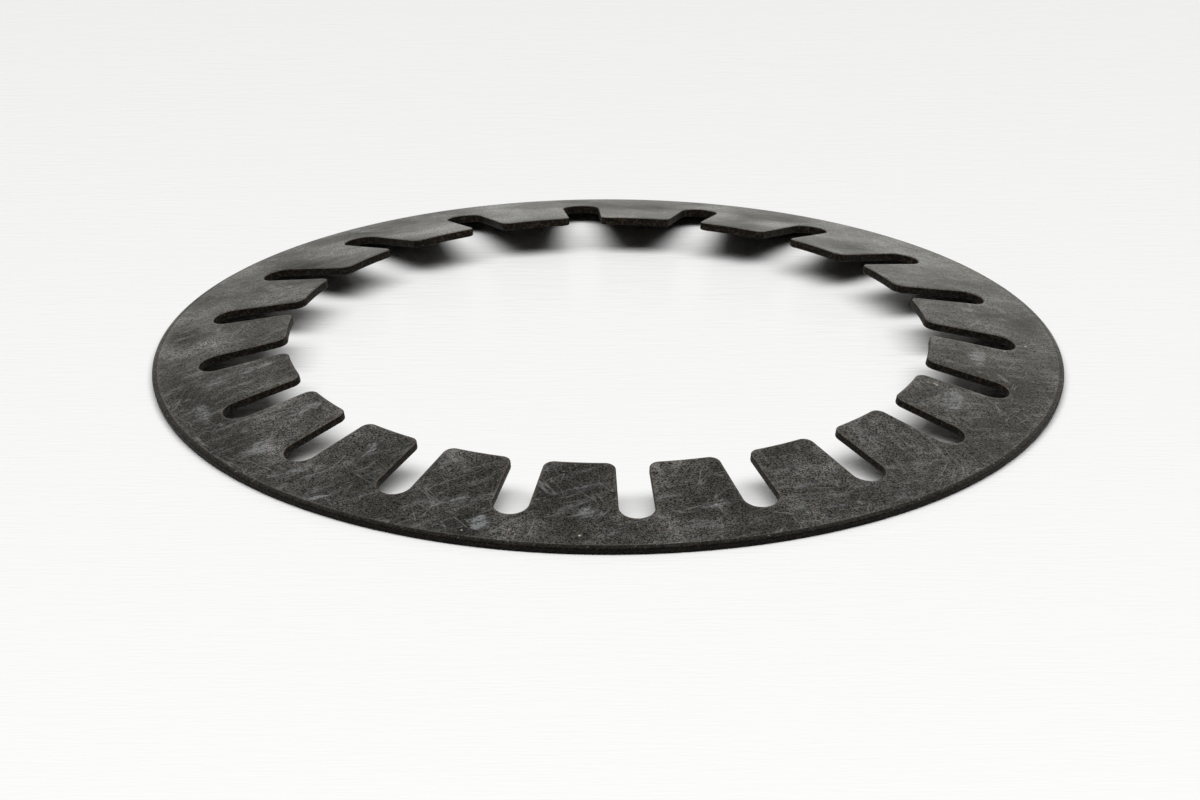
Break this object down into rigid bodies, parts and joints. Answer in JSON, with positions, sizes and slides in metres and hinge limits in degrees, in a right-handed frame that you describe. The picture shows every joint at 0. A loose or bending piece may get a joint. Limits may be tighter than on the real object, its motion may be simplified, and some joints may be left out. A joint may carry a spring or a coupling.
{
  "type": "slotted disc spring",
  "caption": "Coned ring of spring steel strip whose slotted tongues press on a bearing ring while its outer rim sits in a housing bore.",
  "frame": {"origin": "on the spring's axis, in the plane that the lower edge of the outer rim rests on", "axes": "+Z along the axis, from the outer rim towards the raised tongue tips; -Y through the middle of one slot"},
  "size_m": [0.099, 0.099, 0.0043],
  "materials": {
    "phosphated_spring_steel": "satin"
  },
  "bodies": {
    "root": {"disc_spring": "phosphated_spring_steel"}
  },
  "joints": []
}
